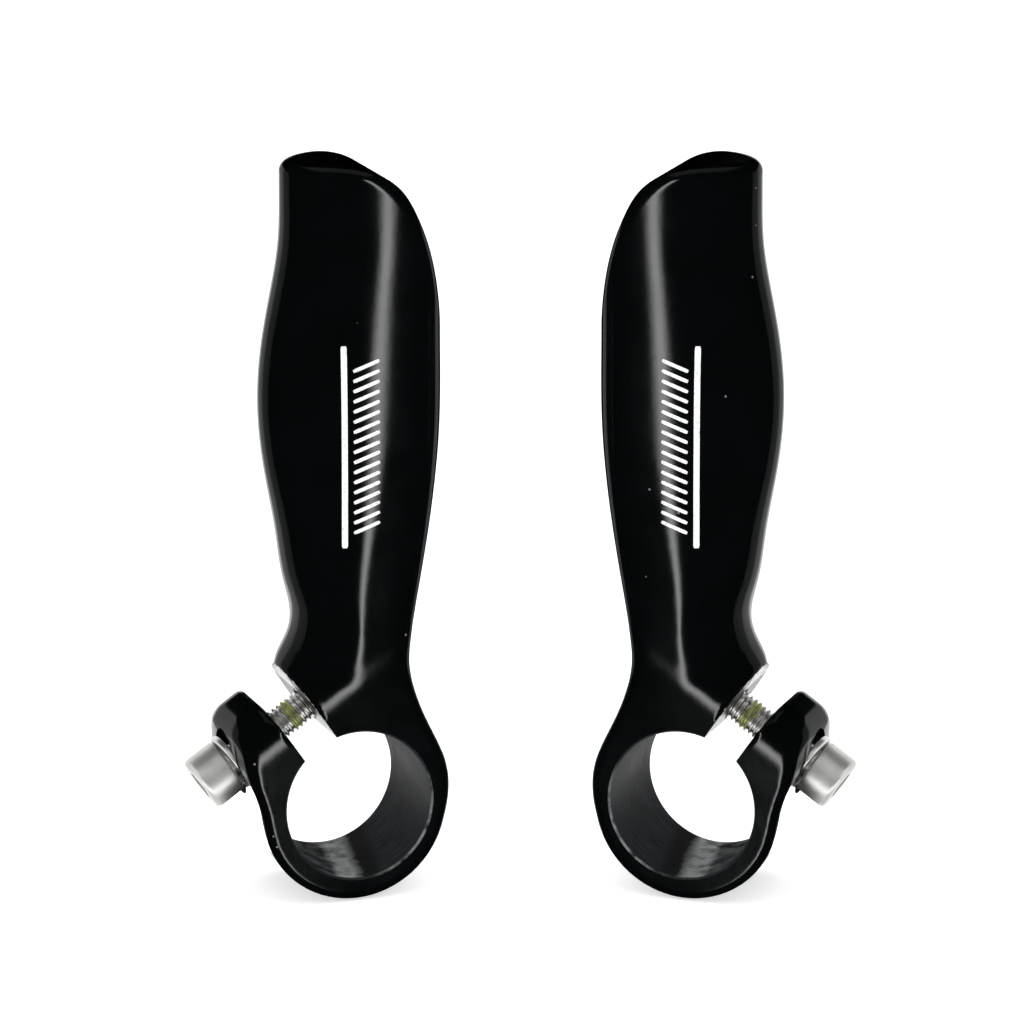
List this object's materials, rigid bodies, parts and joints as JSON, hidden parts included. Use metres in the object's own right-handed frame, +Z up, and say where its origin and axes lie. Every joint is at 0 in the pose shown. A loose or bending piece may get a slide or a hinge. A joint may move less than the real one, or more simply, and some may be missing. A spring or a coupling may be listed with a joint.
{
  "type": "bar end grips",
  "caption": "Pair of short, palm-shaped metal bar ends, mirror images, each with a split ring clamp closed by a socket head screw and washer.",
  "frame": {"origin": "midway between the centres of the two clamp bores", "axes": "+Z up the grips, +X from the left bar end to the right, +Y from the open front faces of the clamps to the back; each bar end is turned outwards by 19.9 degrees about Z"},
  "size_m": [0.099, 0.0267, 0.1105],
  "materials": {
    "grip_paint": "satin black paint over cast aluminium, turned dark metal in the bore",
    "screw_steel": "satin zinc plated steel",
    "washer_steel": "bright zinc plated steel",
    "thread_adhesive": "dried yellow-green adhesive",
    "print_ink": "silver-white printed ink"
  },
  "bodies": {
    "left_grip": {"left_grip_body": "grip_paint"},
    "left_washer": {"left_washer": "washer_steel"},
    "left_screw": {"left_screw": "screw_steel", "left_thread_patch": "thread_adhesive"},
    "right_grip": {"right_grip_body": "grip_paint"},
    "right_washer": {"right_washer": "washer_steel"},
    "right_screw": {"right_screw": "screw_steel", "right_thread_patch": "thread_adhesive"}
  },
  "joints": [
    {"name": "left_screw_advance", "type": "slide", "parent": "left_grip", "child": "left_washer", "axis": [0.7795, 0.2822, 0.5592], "range_m": [-0.0068, 0.0008]},
    {"name": "left_screw_turn", "type": "hinge", "parent": "left_washer", "child": "left_screw", "pos_m": [-0.04334, -0.00593, 0.00537], "axis": [0.7795, 0.2822, 0.5592], "range_deg": [-3070, 370]},
    {"name": "right_screw_advance", "type": "slide", "parent": "right_grip", "child": "right_washer", "axis": [-0.7795, 0.2822, 0.5592], "range_m": [-0.0068, 0.0008]},
    {"name": "right_screw_turn", "type": "hinge", "parent": "right_washer", "child": "right_screw", "pos_m": [0.04334, -0.00593, 0.00537], "axis": [-0.7795, 0.2822, 0.5592], "range_deg": [-3070, 370]},
    {"name": "right_grip_apart", "type": "slide", "parent": "left_grip", "child": "right_grip", "axis": [1, 0, 0], "range_m": [0, 0.05]}
  ],
  "couplings": [
    {"joint": "left_screw_turn", "follows": "left_screw_advance", "rad_per_m": 7854},
    {"joint": "right_screw_turn", "follows": "right_screw_advance", "rad_per_m": 7854}
  ]
}
